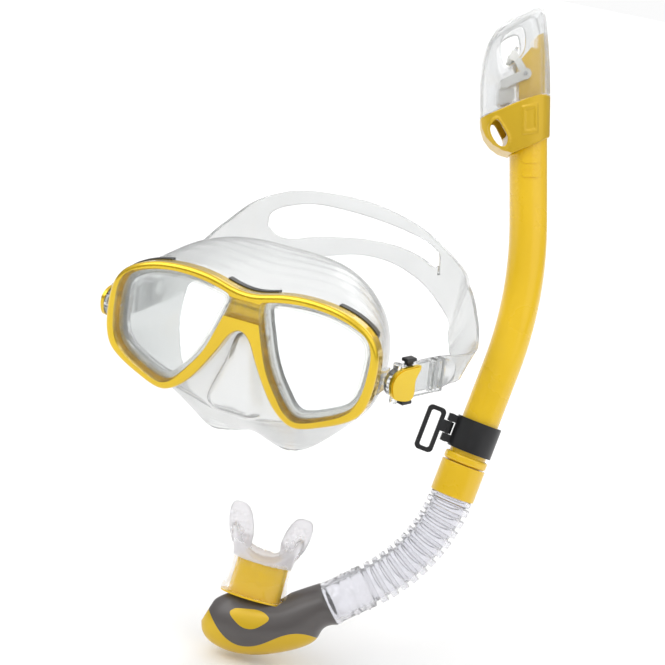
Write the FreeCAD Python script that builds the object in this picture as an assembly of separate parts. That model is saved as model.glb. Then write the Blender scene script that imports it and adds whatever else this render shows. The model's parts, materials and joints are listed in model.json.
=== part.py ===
"""A snorkelling set: a two-window mask with its head strap, and a dry-top snorkel that clips to it.

Row frame, millimetres: the origin is the centre of the opening that seals on the face, +Z up the
face, +Y into the head and +X to the wearer's left, the side that the snorkel goes on.
"""
import FreeCAD
import Part
import math
import os

V = FreeCAD.Vector
OUT = "parts"

# ---------------------------------------------------------------- driving dimensions: the mask
LENS_FRONT_Y = -60.0        # front of the glass, in front of the face
FRAME_FRONT_Y = -66.0
FRAME_JOIN_Y = -56.0        # front frame meets rear frame
FRAME_BACK_Y = -51.0
FRAME_ROUND = 2.6           # rounding of the front frame's outer edge
LENS_THICK = 4.0
RING_WIDTH = 4.1            # clear retaining ring, from glass aperture to front frame
LENS_TUCK = 2.8             # how far the glass runs under its ring
RING_FRONT_Y = -64.8
RING_STEP = 1.5
SKIRT_WALL = 2.0
PIVOT = V(86.5, -41.0, -9.0)    # where a strap buckle turns
STRAP_THICK = 2.6
BUCKLE_FLARE = {"left": 30.0, "right": -8.0}     # degrees outward, as the loose strap leaves them
BUCKLE_RISE = 7.0           # degrees, buckles point up behind

BRIDGE_HALF, BRIDGE_LOW, BRIDGE_HIGH = 10.6, 7.6, 18.9
REAR_INSET = 2.2            # the rear frame hides behind the front one
REAR_PROUD = 0.6            # except here: (x0, x1, z0, z1), and the same mirrored
REAR_TABS = [(-1, 15, 18, 32), (50, 74, 14, 32), (50, 72, -44, -26)]

# half outlines in the lens plane, (x, z), from the middle of the brow round to the nose arch
FRAME_HALF = [(0, 23.2), (8, 24.1), (17, 26.4), (26, 28), (36, 28.6), (45, 28.2), (54, 26.9), (62.5, 24.4),
              (69.6, 20.8), (75, 16), (78.4, 10), (79.9, 3), (80.1, -4), (79.7, -12), (78, -20.5),
              (74.8, -27), (69.4, -31.8), (62, -36), (53, -40), (45, -42.9), (39, -43.4), (33, -41),
              (26.2, -35.4), (20, -27.4), (14.8, -19), (9.6, -9.6), (5.2, -2.2), (0, 0.8)]
APERTURE = [(13.5, 17.4), (24, 19.4), (34, 20.4), (44, 20.3), (54, 18.9), (62.5, 16.4), (68.8, 12.8),
            (71.2, 7.4), (71.6, -2), (71.2, -9), (70, -16), (67.3, -22.2), (62, -26.8), (54, -31),
            (46, -34.4), (40.5, -35.4), (36.2, -33), (31.4, -27.2), (25.6, -19.2), (20.6, -9.4), (17, 1),
            (13.8, 11)]
SKIRT_FRONT = [(0, 22.4), (17, 25), (36, 27), (54, 25.2), (68.4, 19.6), (75.2, 11), (77.2, -4),
               (75.6, -19), (69.6, -29.5), (60, -35.8), (48, -41), (37, -44.5), (25, -47.5), (12, -50.5),
               (0, -51)]
SKIRT_MIDDLE = [(0, 36), (18, 37.2), (37, 37.2), (53, 32.5), (66, 22), (73, 9), (75, -6),
                (74.4, -21), (69.5, -34), (60, -44), (49, -52.5), (37, -59.5), (25, -63), (12, -63.5),
                (0, -62.5)]
SKIRT_RIM = [(0, 41), (17, 40.6), (33, 37.4), (45, 30.4), (55, 20), (61.6, 8), (65, -7), (65, -23),
             (61, -37), (55, -49.5), (46.5, -61), (36, -71), (24, -76), (12, -74), (0, -71)]
SKIRT_MIDDLE_Y = -26.0
SKIRT_RIM_Y = 10.0
NOSE_BASE = [(3.2, -2.8), (13.0, -19), (24, -35.3), (24.5, -46.5), (12.5, -50)]
NOSE_FRONT = [(4.2, -8), (7.5, -19), (10.5, -33), (13, -43.5), (10, -48)]
NOSE_FRONT_Y = -57.5

# strap, from the left buckle round to the right one: middle of the band (x, y, z), its full
# width, and how far its upper edge leans out, in degrees; it lies loose, closer in on the right
STRAP_PATH = [((90.3, -26.7, -7.3), 17, 0), ((99.8, -10.2, -4.9), 17, 0), ((107.6, 4, -4.4), 17, 6),
              ((111, 20, -3.5), 18, 20), ((108, 38, -1), 21, 30), ((99.5, 56, 6), 27, 18),
              ((90, 70, 13), 32, 8), ((79, 92, 19), 32, 3), ((53, 117, 29), 30, 0),
              ((28, 125, 36), 31, 0), ((0, 128, 37.5), 36, 0), ((-30, 128, 32.5), 43, 0),
              ((-50, 124, 28.5), 42, 0), ((-68, 111, 21), 36, 0), ((-77, 88, 12), 29, 0),
              ((-82, 64, 3), 23, 0), ((-83, 38, -4.5), 19, 0), ((-80.3, 12, -6), 17, 0),
              ((-78, -8.6, -4.9), 17, 0), ((-80.65, -27.4, -7.3), 17, 0)]
STRAP_WINDOW = [(61, 30), (57.5, 36.4), (47, 40.6), (28, 44), (0, 46.3), (-30, 45.6), (-48, 40.6),
                (-58, 34), (-60.5, 26), (-56.5, 19.4), (-47, 18.6), (-30, 24), (0, 30), (28, 32),
                (47, 29.6), (57, 26.8)]

# ------------------------------------------------------------- driving dimensions: the snorkel
SNORKEL_ORIGIN = V(111.7, 90.0, -67.4)      # middle of the keeper collar
SNORKEL_TURN, SNORKEL_LEAN, SNORKEL_ROLL = 16.4, 14.3, 11.5     # degrees, attitude of its plane
TUBE_R, TUBE_WALL = 11.9, 1.9
TUBE_TOP = 196.0
BEND_TOP = 136.0
BEND_R = 254.0
BEND_ANGLE = 21.0
STEM_RISE = BEND_TOP - BEND_R * math.sin(math.radians(BEND_ANGLE))
TUBE_X = (STEM_RISE * math.tan(math.radians(BEND_ANGLE))
          + BEND_R * (1 - math.cos(math.radians(BEND_ANGLE))))  # upper tube's offset from the stem
COLLAR_H, COLLAR_R = 20.0, 14.4
TUBE_END = -18.0            # the tube's shoulder, along the stem
SPIGOT_R, SPIGOT_END = 10.6, -31.0
SLEEVE_R, SLEEVE_TOP, SLEEVE_BOTTOM = 14.2, -18.6, -39.5
HOSE_R, HOSE_BORE, HOSE_BEND_R, HOSE_ANGLE = 10.9, 9.0, 104.0, 43.7
RIB_R, RIB_THICK, RIB_COUNT = 14.0, 3.0, 11
CUFF_R, CUFF_LENGTH = 14.1, 27.9


def mirror_half(half):
    """Full closed outline from a half that starts and ends on x = 0."""
    return list(half) + [(-x, z) for x, z in reversed(half[1:-1])]


def spline_wire(points):
    curve = Part.BSplineCurve()
    curve.interpolate(Points=[V(*p) for p in points], PeriodicFlag=True)
    return Part.Wire([curve.toShape()])


def polygon_wire(points):
    return Part.makePolygon([V(*p) for p in points] + [V(*points[0])])


def prism(points, y0, y1, smooth=True):
    """Outline (x, z) swept along +Y from y0 to y1."""
    ring = [(x, y0, z) for x, z in points]
    wire = spline_wire(ring) if smooth else polygon_wire(ring)
    return Part.Face(wire).extrude(V(0, y1 - y0, 0))


def offset(points, distance):
    """A clockwise outline moved outward (inward if negative) along its corner normals."""
    moved = []
    n = len(points)
    for i, (x, z) in enumerate(points):
        (xa, za), (xb, zb) = points[i - 1], points[(i + 1) % n]
        tx, tz = xb - xa, zb - za
        length = math.hypot(tx, tz)
        moved.append((x - tz / length * distance, z + tx / length * distance))
    return moved


def mirror_x(shape):
    return shape.mirror(V(0, 0, 0), V(1, 0, 0))


def both_sides(shape):
    return {"left": shape, "right": mirror_x(shape)}


def box(x0, x1, y0, y1, z0, z1):
    return Part.makeBox(x1 - x0, y1 - y0, z1 - z0, V(x0, y0, z0))


def loft(wires, ruled=False):
    return Part.makeLoft(wires, True, ruled)


# --------------------------------------------------------------------------- the mask's frame
def aperture_prism(grow, y0, y1):
    return prism(offset(APERTURE, grow), y0, y1)


def both_apertures(grow, y0, y1):
    right = aperture_prism(grow, y0, y1)
    return right.fuse(mirror_x(right))


def front_edges(shape, y):
    return [e for e in shape.Edges if abs(e.BoundBox.YMax - y) < 0.01]


def bridge_block(y0, y1):
    """The clear bridge between the two windows' rings."""
    plate = box(-BRIDGE_HALF, BRIDGE_HALF, y0, y1, BRIDGE_LOW, BRIDGE_HIGH)
    return plate.cut(both_apertures(RING_WIDTH, y0 - 1, y1 + 1))


def front_frame():
    """The coloured front frame: one rounded band round both windows, joined over the nose."""
    plate = prism(mirror_half(FRAME_HALF), FRAME_FRONT_Y, FRAME_JOIN_Y)
    plate = plate.makeFillet(FRAME_ROUND, front_edges(plate, FRAME_FRONT_Y))
    plate = plate.cut(both_apertures(RING_WIDTH, FRAME_FRONT_Y - 1, LENS_FRONT_Y))
    plate = plate.cut(both_apertures(LENS_TUCK, LENS_FRONT_Y - 1, FRAME_JOIN_Y + 1))
    return plate.cut(bridge_block(FRAME_FRONT_Y - 1, LENS_FRONT_Y))


def rear_frame():
    """The dark clamp behind the skirt's flange: it stands out at the brow and the outer corners."""
    outline = mirror_half(FRAME_HALF)
    plate = prism(offset(outline, -REAR_INSET), FRAME_JOIN_Y, FRAME_BACK_Y)
    proud = prism(offset(outline, REAR_PROUD), FRAME_JOIN_Y, FRAME_BACK_Y)
    for x0, x1, z0, z1 in REAR_TABS:
        for low, high in ((x0, x1), (-x1, -x0)):
            window = box(low, high, FRAME_JOIN_Y - 1, FRAME_BACK_Y + 1, z0, z1)
            plate = plate.fuse(proud.common(window))
    return plate.cut(both_apertures(RING_WIDTH, FRAME_JOIN_Y - 1, FRAME_BACK_Y + 1))


def lens_ring():
    """Clear ring with a step down to the glass."""
    ring = aperture_prism(RING_WIDTH, RING_FRONT_Y, LENS_FRONT_Y)
    ring = ring.cut(aperture_prism(RING_WIDTH / 2, RING_FRONT_Y - 1, RING_FRONT_Y + RING_STEP))
    return ring.cut(aperture_prism(0, RING_FRONT_Y - 1, LENS_FRONT_Y + 1))


def lens():
    return aperture_prism(LENS_TUCK, LENS_FRONT_Y, LENS_FRONT_Y + LENS_THICK)


def bridge_latch():
    """Clear bridge plate between the two windows, with its raised latch."""
    plate = bridge_block(RING_FRONT_Y, LENS_FRONT_Y)
    latch = box(-4.8, 4.8, FRAME_FRONT_Y - 1.2, RING_FRONT_Y + 1, 10.8, 18.4)
    latch = latch.makeFillet(0.8, front_edges(latch, FRAME_FRONT_Y - 1.2))
    return plate.fuse(latch.cut(box(-1.2, 1.2, -69, FRAME_FRONT_Y + 0.2, 12.2, 17)))


# ------------------------------------------------------------------------------- the skirt
def skirt_section(half, y, inset=0.0):
    outline = offset(mirror_half(half), -inset) if inset else mirror_half(half)
    return spline_wire([(x, y, z) for x, z in outline])


def skirt_loft(inset, front_y):
    sections = ((SKIRT_FRONT, front_y), (SKIRT_MIDDLE, SKIRT_MIDDLE_Y), (SKIRT_RIM, SKIRT_RIM_Y))
    return loft([skirt_section(half, y, inset) for half, y in sections])


def nose_pocket(inset, front_y, back_y):
    def ring(half, y):
        outline = half + [(-x, z) for x, z in reversed(half)]
        return polygon_wire([(x, y, z) for x, z in offset(outline, -inset)])
    return loft([ring(NOSE_FRONT, front_y), ring(NOSE_BASE, back_y)], ruled=True)


def face_cut():
    """What is cut off the rim's back so that it follows a face: forehead and lip stand forward."""
    curve = Part.BSplineCurve()
    curve.interpolate([V(-90, 10 - 0.005 * (z + 8) ** 2, z) for z in (-85, -60, -30, -8, 20, 50)])
    top, bottom = V(-90, 40, 50), V(-90, 40, -85)
    edges = [curve.toShape(), Part.makeLine(curve.EndPoint, top), Part.makeLine(top, bottom),
             Part.makeLine(bottom, curve.StartPoint)]
    return Part.Face(Part.Wire(edges)).extrude(V(180, 0, 0))


def skirt():
    outer = skirt_loft(0.0, FRAME_BACK_Y)
    outer = outer.fuse(nose_pocket(0.0, NOSE_FRONT_Y, FRAME_BACK_Y + 0.5))
    outer = outer.fuse(both_apertures(RING_WIDTH - 0.1, FRAME_JOIN_Y, FRAME_BACK_Y + 0.5))
    inner = skirt_loft(SKIRT_WALL, FRAME_BACK_Y + SKIRT_WALL)
    inner = inner.fuse(nose_pocket(SKIRT_WALL, NOSE_FRONT_Y + SKIRT_WALL, FRAME_BACK_Y + 3))
    inner = inner.fuse(both_apertures(0.0, FRAME_JOIN_Y - 1, FRAME_BACK_Y + 3))
    return outer.cut(inner).cut(face_cut())


# ------------------------------------------------------------------- buckles, left side first
def buckle_place(shape, side):
    """From buckle axes (x out, y along the strap, z up, pivot at 0) to the row frame."""
    shape = shape.copy()
    shape.rotate(V(0, 0, 0), V(1, 0, 0), BUCKLE_RISE)
    shape.rotate(V(0, 0, 0), V(0, 0, 1), -BUCKLE_FLARE[side])
    shape.translate(PIVOT)
    return shape if side == "left" else mirror_x(shape)


def along_x(radius, x0, x1):
    return Part.makeCylinder(radius, x1 - x0, V(x0, PIVOT.y, PIVOT.z), V(1, 0, 0))


def buckle_hub():
    """Clear arm and post moulded on the rear frame's side: the buckle turns on its axle."""
    arm = box(77.7, 80.1, -55.7, -37.4, -15.0, -3.0)
    return arm.fuse(along_x(3.4, 79.0, 81.6)).fuse(along_x(2.5, 81.0, 87.5))


def button_pocket(sign):
    return box(-1.6, 1.6, 4.4, 9.6, min(sign * 4.8, sign * 12), max(sign * 4.8, sign * 12))


def buckle_body(side):
    """Clear housing: round end on the axle, knuckles above and below, and two strap slots."""
    plate = box(-2.2, 2.4, 0, 33, -9.6, 9.6)
    head = Part.makeCylinder(8.2, 4.6, V(-2.2, 0, 0), V(1, 0, 0))
    body = plate.fuse(head)
    for z in (-11.4, 8.2):
        body = body.fuse(Part.makeCylinder(2.2, 3.2, V(0, -1.5, z)))
    for y in (23.0, 28.2):
        body = body.cut(box(-4, 4, y, y + 2.6, -8.6, 8.6))
    for sign in (-1, 1):
        body = body.cut(button_pocket(sign))
    axle_hole = along_x(2.56, 70, 110)
    return buckle_place(body, side).cut(axle_hole if side == "left" else mirror_x(axle_hole))


def buckle_cover(side):
    """Coloured badge plate, round in front and waved behind, blank."""
    outline = [(-8.4, 0), (-6.4, 6.2), (0, 9.2), (7, 9.6), (12.6, 9.2), (10, 3.2), (9.4, -3), (8.6, -9.2),
               (0, -9.4), (-6.4, -6.2)]
    wire = spline_wire([(2.5, y, z) for y, z in outline])
    plate = Part.Face(wire).extrude(V(1.9, 0, 0))
    cap = Part.Face(spline_wire([(4.4, y * 0.93 + 0.1, z * 0.93) for y, z in outline]))
    return buckle_place(plate.fuse(cap.extrude(V(0.7, 0, 0))), side)


def strap_bar(side):
    return buckle_place(Part.makeCylinder(1.1, 17.2, V(0.1, 29.5, -8.6)), side)


def release_button(sign, side):
    """Squeeze tab, pressed toward the buckle's middle to free the strap."""
    stem = box(-1.3, 1.3, 4.8, 9.2, 6.6, 11.6)
    cap = box(-2.4, 2.4, 3.6, 10.4, 11.6, 13.6)
    cap = cap.makeFillet(0.7, [e for e in cap.Edges if e.BoundBox.ZMin > 13.5])
    tab = stem.fuse(cap)
    return buckle_place(tab if sign > 0 else tab.mirror(V(0, 0, 0), V(0, 0, 1)), side)


# ------------------------------------------------------------------------------- the strap
def strap_sections():
    line = [(V(*place), width, math.radians(lean)) for place, width, lean in STRAP_PATH]
    wires = []
    for i, (p, width, lean) in enumerate(line):
        along = (line[min(i + 1, len(line) - 1)][0] - line[max(i - 1, 0)][0]).normalize()
        upright = (V(0, 0, 1) - along * along.z).normalize()
        outward = along.cross(upright)
        up = (upright * math.cos(lean) + outward * math.sin(lean)) * (width / 2)
        side = (outward * math.cos(lean) - upright * math.sin(lean)) * (STRAP_THICK / 2)
        wires.append(Part.makePolygon([p + up + side, p + up - side, p - up - side, p - up + side,
                                       p + up + side]))
    return wires


def strap_tail(side):
    """The strap's free end, drawn back through the slots and lying on the strap behind the buckle."""
    outline = [(33.4, 7.5), (38, 7.6), (42.4, 5.2), (44.2, 0), (42.4, -5.2), (38, -7.6), (33.4, -7.5)]
    wire = Part.makePolygon([V(-3.6, y, z) for y, z in outline] + [V(-3.6, *outline[0])])
    return buckle_place(Part.Face(wire).extrude(V(4.8, 0, 0)), side)


def strap():
    band = loft(strap_sections())
    ring = [(x, 60, z) for x, z in STRAP_WINDOW]
    window = Part.Face(spline_wire(ring)).extrude(V(0, 100, 0))
    band = band.cut(window)
    for side in BUCKLE_FLARE:
        band = band.fuse(strap_tail(side))
    return band


# -------------------------------------------------------------------- snorkel: frames of work
def snorkel_axes():
    """Across, up and out of the snorkel's own plane, in the row frame."""
    a, e, r = (math.radians(x) for x in (SNORKEL_TURN, SNORKEL_LEAN, SNORKEL_ROLL))
    out = V(math.sin(a) * math.cos(e), -math.cos(a) * math.cos(e), math.sin(e))
    level = V(math.cos(a), math.sin(a), 0)
    steep = out.cross(level)
    across = level * math.cos(r) + steep * math.sin(r)
    return across, out.cross(across), out


def snorkel_place(shape):
    across, up, out = snorkel_axes()
    o = SNORKEL_ORIGIN
    matrix = FreeCAD.Matrix(across.x, up.x, out.x, o.x, across.y, up.y, out.y, o.y,
                            across.z, up.z, out.z, o.z, 0, 0, 0, 1)
    placed = shape.copy()
    placed.Placement = FreeCAD.Placement(matrix).multiply(placed.Placement)
    return placed


BEND_END = V(TUBE_X - BEND_R * (1 - math.cos(math.radians(BEND_ANGLE))),
             BEND_TOP - BEND_R * math.sin(math.radians(BEND_ANGLE)), 0)


def stem(shape):
    """From stem axes (y up the lower tube, collar's middle at 0) to the snorkel's plane."""
    placed = shape.copy()
    placed.rotate(V(0, 0, 0), V(0, 0, 1), -BEND_ANGLE)
    return placed


def stem_point(x, y):
    a = math.radians(BEND_ANGLE)
    return V(x * math.cos(a) + y * math.sin(a), -x * math.sin(a) + y * math.cos(a), 0)


def stem_cylinder(radius, y0, y1):
    return stem(Part.makeCylinder(radius, y1 - y0, V(0, y0, 0), V(0, 1, 0)))


def stem_ring(outer, inner, y0, y1):
    return stem_cylinder(outer, y0, y1).cut(stem_cylinder(inner, y0 - 1, y1 + 1))


def flat(points, w0, w1, smooth=True):
    """Outline in the snorkel's plane, given depth from w0 to w1."""
    ring = [(x, y, w0) for x, y in points]
    wire = spline_wire(ring) if smooth else polygon_wire(ring)
    return Part.Face(wire).extrude(V(0, 0, w1 - w0))


# ------------------------------------------------------------------------- snorkel: the tube
def tube_path(bottom_y):
    top, bend = V(TUBE_X, TUBE_TOP, 0), V(TUBE_X, BEND_TOP, 0)
    half = math.radians(BEND_ANGLE / 2)
    middle = V(TUBE_X - BEND_R * (1 - math.cos(half)), BEND_TOP - BEND_R * math.sin(half), 0)
    return Part.Wire([Part.makeLine(top, bend), Part.Arc(bend, middle, BEND_END).toShape(),
                      Part.makeLine(BEND_END, stem_point(0, bottom_y))])


def tube_solid(radius, bottom_y):
    ring = Part.Wire([Part.makeCircle(radius, V(TUBE_X, TUBE_TOP, 0), V(0, 1, 0))])
    return tube_path(bottom_y).makePipeShell([ring], True, True)


def tube_pad(y):
    """Low oval pad moulded on the tube's face."""
    r, half = 2.2, 3.4
    oval = Part.makeCylinder(r, 20, V(TUBE_X - half, y, 0))
    oval = oval.fuse(Part.makeCylinder(r, 20, V(TUBE_X + half, y, 0)))
    oval = oval.fuse(box(TUBE_X - half, TUBE_X + half, y - r, y + r, 0, 20))
    skin = Part.makeCylinder(TUBE_R + 0.45, 20, V(TUBE_X, y - 10, 0), V(0, 1, 0))
    return oval.common(skin)


def tube():
    body = tube_solid(TUBE_R, TUBE_END)
    shoulder = stem_cylinder(SLEEVE_R - 0.3, TUBE_END, TUBE_END + 5.4)
    round_edges = [e for e in shoulder.Edges if e.Length > 80]
    body = body.fuse(shoulder.makeFillet(1.6, round_edges))
    body = body.fuse(stem_cylinder(SPIGOT_R, SPIGOT_END, TUBE_END))
    for y in (174.1, 165.4):
        body = body.fuse(tube_pad(y))
    bore = tube_solid(TUBE_R - TUBE_WALL, TUBE_END + 1).fuse(
        stem_cylinder(SPIGOT_R - 1.6, SPIGOT_END - 1, TUBE_END + 2))
    return body.cut(bore)


# ----------------------------------------------------------------------- snorkel: the dry top
BASE_OUTLINE = [(3.6, 201.2), (26.7, 210.5), (39.1, 214.9), (47.6, 215.2), (46.9, 189.2), (39.1, 185),
                (33.8, 182.6), (22.3, 178.1), (16.1, 179.9), (10.7, 183.5), (6.3, 188.8), (4.1, 195)]
CAP_OUTLINE = [(3.6, 201.2), (3.9, 223.4), (5.4, 236.7), (8, 247.6), (12.5, 255.3), (19.6, 261.2),
               (29.4, 267.2), (37, 271), (40.6, 270.8), (42.8, 268), (44.3, 261), (46, 247),
               (47.4, 229), (47.6, 215.2), (39.1, 214.9), (26.7, 210.5)]
PLAN = [(2.6, 0), (6.5, 8.6), (15, 12.8), (27, 14.5), (38, 13.6), (45, 8.8), (48.2, 0), (45, -8.8),
        (38, -13.6), (27, -14.5), (15, -12.8), (6.5, -8.6)]
INLET = [(13.4, 199), (16.6, 194.1), (19.4, 187.9), (18.2, 183), (14.6, 182.8), (10.9, 187.2),
         (8.9, 193), (10.2, 197.4)]
CAP_WINDOW = [(26.7, 256.4), (29.8, 253.5), (30, 244), (26.4, 237.6), (18.6, 232), (15.6, 239.3),
              (15.6, 247.6), (19.4, 252.6)]
HUB = (31.1, 228.3)
PIN_R = 1.2
PIN_FIT = 0.06              # radial running fit on the pins
FLOAT_SWING = 25.0          # degrees from hanging to shut


def plan_prism(inset, y0, y1):
    outline = offset(PLAN, -inset)
    wire = spline_wire([(x, y0, w) for x, w in outline])
    return Part.Face(wire).extrude(V(0, y1 - y0, 0))


def top_base():
    """Yellow lower half of the dry top: air inlet through its belly, tube socket under it."""
    solid = flat(BASE_OUTLINE, -20, 20, smooth=False).common(plan_prism(0, 170, 230))
    hollow_outline = [(6.2, 203), (26, 213), (39, 220), (45, 220), (44.6, 197), (22, 191), (14, 187.5),
                      (9, 192), (6.4, 197)]
    hollow = flat(hollow_outline, -20, 20, smooth=False).common(plan_prism(2.2, 170, 230))
    solid = solid.cut(hollow).cut(flat(INLET, -20, 20))
    pad = flat([(28.5, 189), (28.5, 207.5), (38.2, 209.5), (38.2, 190.5)], 11, 20, smooth=False)
    pad = pad.common(plan_prism(-0.7, 170, 230))
    pad = pad.cut(flat([(30.2, 191.5), (30.2, 205.8), (36.5, 207.2), (36.5, 192.5)], 13.4, 20, False))
    solid = solid.fuse(pad.cut(plan_prism(1.0, 170, 230)))
    socket = Part.makeCylinder(TUBE_R + 0.02, 60, V(TUBE_X, 150, 0), V(0, 1, 0))
    return solid.cut(socket)


def top_cap():
    """Clear cover over the float, open through both cheeks."""
    solid = flat(CAP_OUTLINE, -20, 20, smooth=False).common(plan_prism(0, 195, 280))
    inner_outline = [(5.4, 190), (5.7, 223), (7.3, 236.3), (9.8, 246.8), (13.8, 253.6), (20.6, 259.3),
                     (30.2, 265.2), (37.2, 268.9), (39.6, 268.6), (41, 266.8), (42.5, 260), (44.2, 246),
                     (45.6, 229), (45.8, 190)]
    inner = flat(inner_outline, -20, 20, smooth=False).common(plan_prism(1.8, 180, 280))
    return solid.cut(inner).cut(flat(CAP_WINDOW, -20, 20))


def valve_column():
    """Yellow chimney that carries the tube's air up to the valve seat on its slanted mouth."""
    outline = [(27.2, TUBE_TOP), (27.2, 236), (35, 245), (38.4, 244), (38.8, 252.4), (42.2, 254),
               (43.2, 240), (43.4, TUBE_TOP)]
    body = flat(outline, -7.6, 7.6, smooth=False).common(plan_prism(2.6, 190, 260))
    body = body.cut(float_pin())
    return body.cut(Part.makeCylinder(5.0, 60, V(33.4, 190, 0), V(0, 1, 0)))


def float_pin():
    """Stub axle on each side of the column, joined by a bar across its mouth's way."""
    return Part.makeCylinder(PIN_R, 22.0, V(HUB[0], HUB[1], -11.0))


def mouth_point(along, off):
    """Point by the column's slanted mouth, with the valve shut: along the mouth and off it."""
    x, y = 27.2 + 0.655 * along - 0.756 * off, 236 + 0.756 * along + 0.655 * off
    return x, y


def swung_open(shape):
    shape.rotate(V(HUB[0], HUB[1], 0), V(0, 0, 1), FLOAT_SWING)
    return shape


def float_arm():
    """Forked lever: a hub each side of the column and a crosspiece over the float."""
    side = Part.makeCylinder(3.6, 1.8, V(HUB[0], HUB[1], 8.0))
    lever = flat([(31.5, 231.6), (20.5, 226.4), (15.8, 224.2), (15.8, 219.4), (19, 219.4), (31, 224.8)],
                 8.0, 9.8, smooth=False)
    upper = [(28.9, 227.5), (33.3, 227.5), mouth_point(8.5, 1.0), mouth_point(8.5, 4.2),
             mouth_point(2.5, 4.2), mouth_point(2.5, 1.0)]
    lever = lever.fuse(swung_open(flat(upper, 8.0, 9.8, smooth=False)))
    cheek = side.fuse(lever).cut(Part.makeCylinder(PIN_R + PIN_FIT, 40, V(HUB[0], HUB[1], -20)))
    other = cheek.mirror(V(0, 0, 0), V(0, 0, 1))
    bridge = flat([(20.5, 226.4), (15.8, 224.2), (15.8, 219.4), (20.5, 219.4)], -8.0, 8.0, smooth=False)
    bar = [mouth_point(*p) for p in ((3.2, 2.2), (7.8, 2.2), (7.8, 3.9), (3.2, 3.9))]
    return cheek.fuse(other).fuse(bridge).fuse(swung_open(flat(bar, -8.0, 8.0, smooth=False)))


def float_block():
    """Buoyant block under the lever."""
    block = flat([(14.6, 219.4), (24.4, 219.4), (24.6, 213.2), (22.4, 210.8), (16.2, 208.8),
                  (14.6, 210.6)], -6.6, 6.6, smooth=False)
    return block.makeFillet(1.0, [e for e in block.Edges if abs(e.tangentAt(0).z) > 0.9])


def valve_flap():
    """Silicone seal on the lever that lifts against the column's mouth."""
    pad = [mouth_point(*p) for p in ((-0.4, 0.4), (12.2, 0.4), (12.2, 2.2), (-0.4, 2.2))]
    return swung_open(flat(pad, -6.6, 6.6, smooth=False))


# ------------------------------------------------------------------------ snorkel: the keeper
KEEPER_PIN = (-17.6, 0.0)


def keeper_collar():
    """Soft black band round the tube, with two hinge lugs on the mask's side."""
    band = stem_ring(COLLAR_R, TUBE_R + PIN_FIT, -COLLAR_H / 2, COLLAR_H / 2)
    for y in (-9.0, 4.2):
        lug = box(-20.0, -13.0, y, y + 4.8, -2.6, 2.6)
        band = band.fuse(stem(lug.cut(Part.makeCylinder(TUBE_R + 1, 30, V(0, -15, 0), V(0, 1, 0)))))
    return band.cut(keeper_pin())


def keeper_pin_hole():
    return Part.makeCylinder(PIN_R + PIN_FIT, 40, V(KEEPER_PIN[0], -20, 0), V(0, 1, 0))


def keeper_pin():
    pin = Part.makeCylinder(PIN_R, 18.6, V(KEEPER_PIN[0], -9.3, 0), V(0, 1, 0))
    return stem(pin)


def keeper_loop():
    """Slotted frame that the mask's strap goes through, hinged between the collar's lugs."""
    frame = box(-34.0, -22.0, -19.5, 10.2, -1.6, 1.6)
    frame = frame.makeFillet(3.2, [e for e in frame.Edges if abs(e.tangentAt(0).z) > 0.9])
    slot = box(-31.2, -24.8, -16.7, 7.4, -3, 3)
    frame = frame.cut(slot.makeFillet(1.6, [e for e in slot.Edges if abs(e.tangentAt(0).z) > 0.9]))
    knuckle = Part.makeCylinder(2.6, 7.6, V(KEEPER_PIN[0], -3.8, 0), V(0, 1, 0))
    arm = box(-23.5, KEEPER_PIN[0], -3.8, 3.8, -1.8, 1.8)
    return stem(frame.fuse(arm).fuse(knuckle).cut(keeper_pin_hole()))


# ----------------------------------------------------------------- snorkel: sleeve and hose
def swivel_sleeve():
    """Coloured union that turns on the tube's spigot and holds the hose."""
    body = stem_cylinder(SLEEVE_R, SLEEVE_BOTTOM, SLEEVE_TOP)
    body = body.makeFillet(0.5, [e for e in body.Edges if e.Length > 80])
    body = body.cut(stem_cylinder(SPIGOT_R + 0.06, SPIGOT_END - 0.4, SLEEVE_TOP + 1))
    return body.cut(stem_cylinder(HOSE_R + 0.02, SLEEVE_BOTTOM - 1, SPIGOT_END + 0.5))


def hose_centre():
    a = math.radians(BEND_ANGLE)
    start = stem_point(0, SLEEVE_BOTTOM)
    return start + V(-math.cos(a), math.sin(a), 0) * HOSE_BEND_R


def hose_point(angle, radius=0.0):
    """Point on the hose's line after `angle` degrees of bend, moved out by radius."""
    a = math.radians(BEND_ANGLE + angle)
    return hose_centre() + V(math.cos(a), -math.sin(a), 0) * (HOSE_BEND_R + radius)


def hose_dir(angle):
    a = math.radians(BEND_ANGLE + angle)
    return V(-math.sin(a), -math.cos(a), 0)


def hose_solid(radius, start_back, end_on):
    a, m, b = hose_point(0), hose_point(HOSE_ANGLE / 2), hose_point(HOSE_ANGLE)
    first = a - hose_dir(0) * start_back
    path = Part.Wire([Part.makeLine(first, a), Part.Arc(a, m, b).toShape(),
                      Part.makeLine(b, b + hose_dir(HOSE_ANGLE) * end_on)])
    ring = Part.Wire([Part.makeCircle(radius, first, hose_dir(0))])
    return path.makePipeShell([ring], True, True)


def flex_hose():
    """Clear corrugated hose with a plain cuff at each end."""
    body = hose_solid(HOSE_R, 8.0, CUFF_LENGTH)
    top_cuff = Part.makeCylinder(13.2, 3.6, hose_point(0), hose_dir(0))
    cuff = Part.makeCylinder(CUFF_R, CUFF_LENGTH, hose_point(HOSE_ANGLE), hose_dir(HOSE_ANGLE))
    body = body.fuse(top_cuff).fuse(cuff)
    for i in range(RIB_COUNT):
        angle = HOSE_ANGLE * (i + 1.0) / (RIB_COUNT + 0.75)
        start = hose_point(angle) - hose_dir(angle) * (RIB_THICK / 2)
        rib = Part.makeCylinder(RIB_R, RIB_THICK, start, hose_dir(angle))
        body = body.fuse(rib.makeFillet(0.9, [e for e in rib.Edges if e.Length > 80]))
    return body.cut(hose_solid(HOSE_BORE, 9.0, CUFF_LENGTH + 1))


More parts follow.
